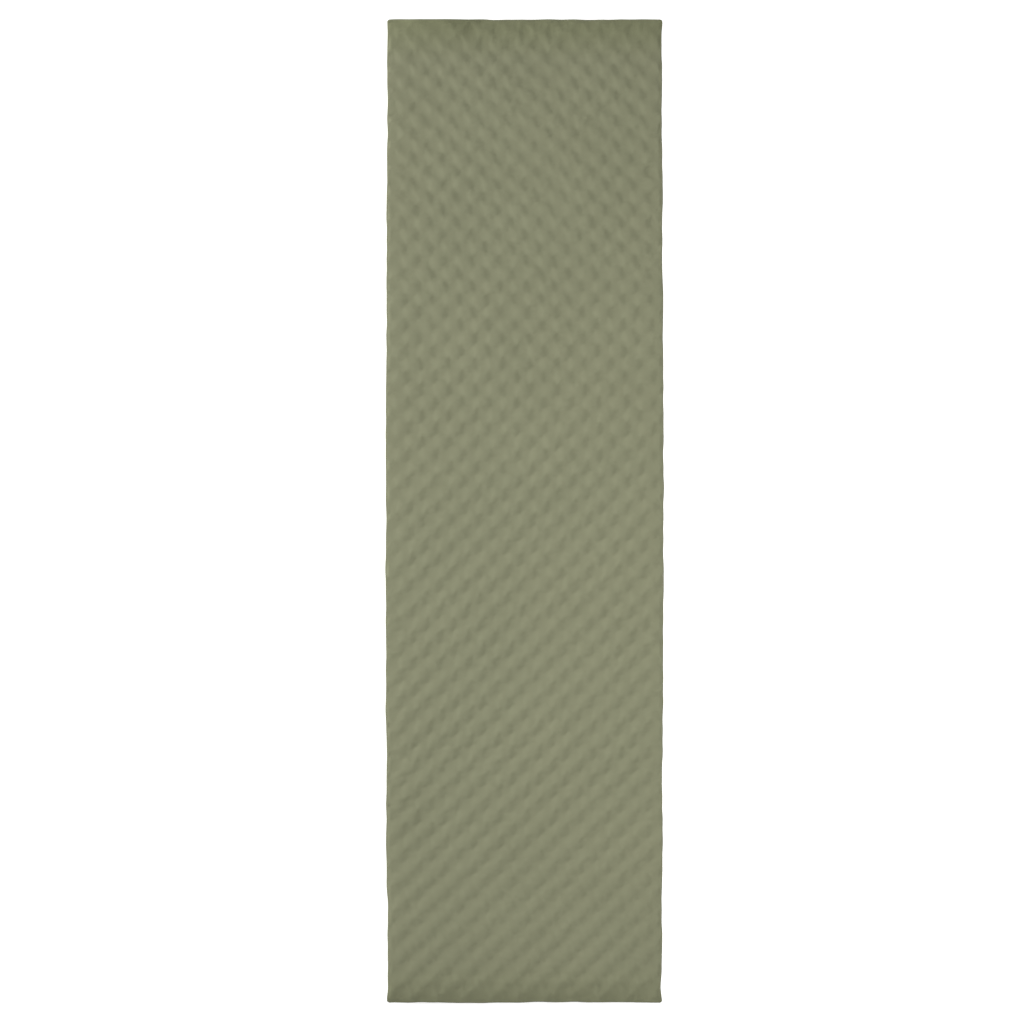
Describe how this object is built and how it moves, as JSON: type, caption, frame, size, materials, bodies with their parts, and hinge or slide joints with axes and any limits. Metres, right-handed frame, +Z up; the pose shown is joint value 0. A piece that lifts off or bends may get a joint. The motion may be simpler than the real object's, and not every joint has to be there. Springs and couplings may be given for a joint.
{
  "type": "self-inflating sleeping pad",
  "caption": "Rectangular self-inflating sleeping pad: boxed fabric shell welded round a cored foam slab, dimpled top, twist valve in the head wall.",
  "frame": {"origin": "on the ground, under the middle of the pad", "axes": "+X across the pad, +Y along it towards the head end, +Z up"},
  "size_m": [0.514, 1.829, 0.05],
  "materials": {
    "shell_fabric_top": "matte",
    "shell_fabric_base": "matte",
    "shell_fabric_wall": "matte",
    "foam": "matte",
    "flange_tpu": "satin",
    "valve_plastic": "matte",
    "dial_plastic": "satin",
    "ring_plastic": "satin",
    "stem_plastic": "satin",
    "pin_steel": "satin",
    "seal_rubber": "matte"
  },
  "bodies": {
    "pad": {"top_sheet": "shell_fabric_top", "bottom_sheet": "shell_fabric_base", "head_wall": "shell_fabric_wall", "foot_wall": "shell_fabric_wall", "left_wall": "shell_fabric_wall", "right_wall": "shell_fabric_wall", "foam_core": "foam", "valve_flange": "flange_tpu", "valve_housing": "valve_plastic", "housing_gasket": "seal_rubber", "snap_ring": "ring_plastic", "foam_guard": "valve_plastic"},
    "dial": {"dial": "dial_plastic"},
    "poppet": {"valve_stem": "stem_plastic", "cam_pin": "pin_steel", "poppet": "stem_plastic", "poppet_seal": "seal_rubber"}
  },
  "joints": [
    {"name": "dial_turn", "type": "hinge", "parent": "pad", "child": "dial", "pos_m": [-0.17, 0.9105, 0.025], "axis": [0, 1, 0], "range_deg": [0, 90]},
    {"name": "poppet_lift", "type": "slide", "parent": "pad", "child": "poppet", "axis": [0, -1, 0], "range_m": [0, 0.003]}
  ],
  "couplings": [
    {"joint": "dial_turn", "follows": "poppet_lift", "rad_per_m": 523.6}
  ]
}
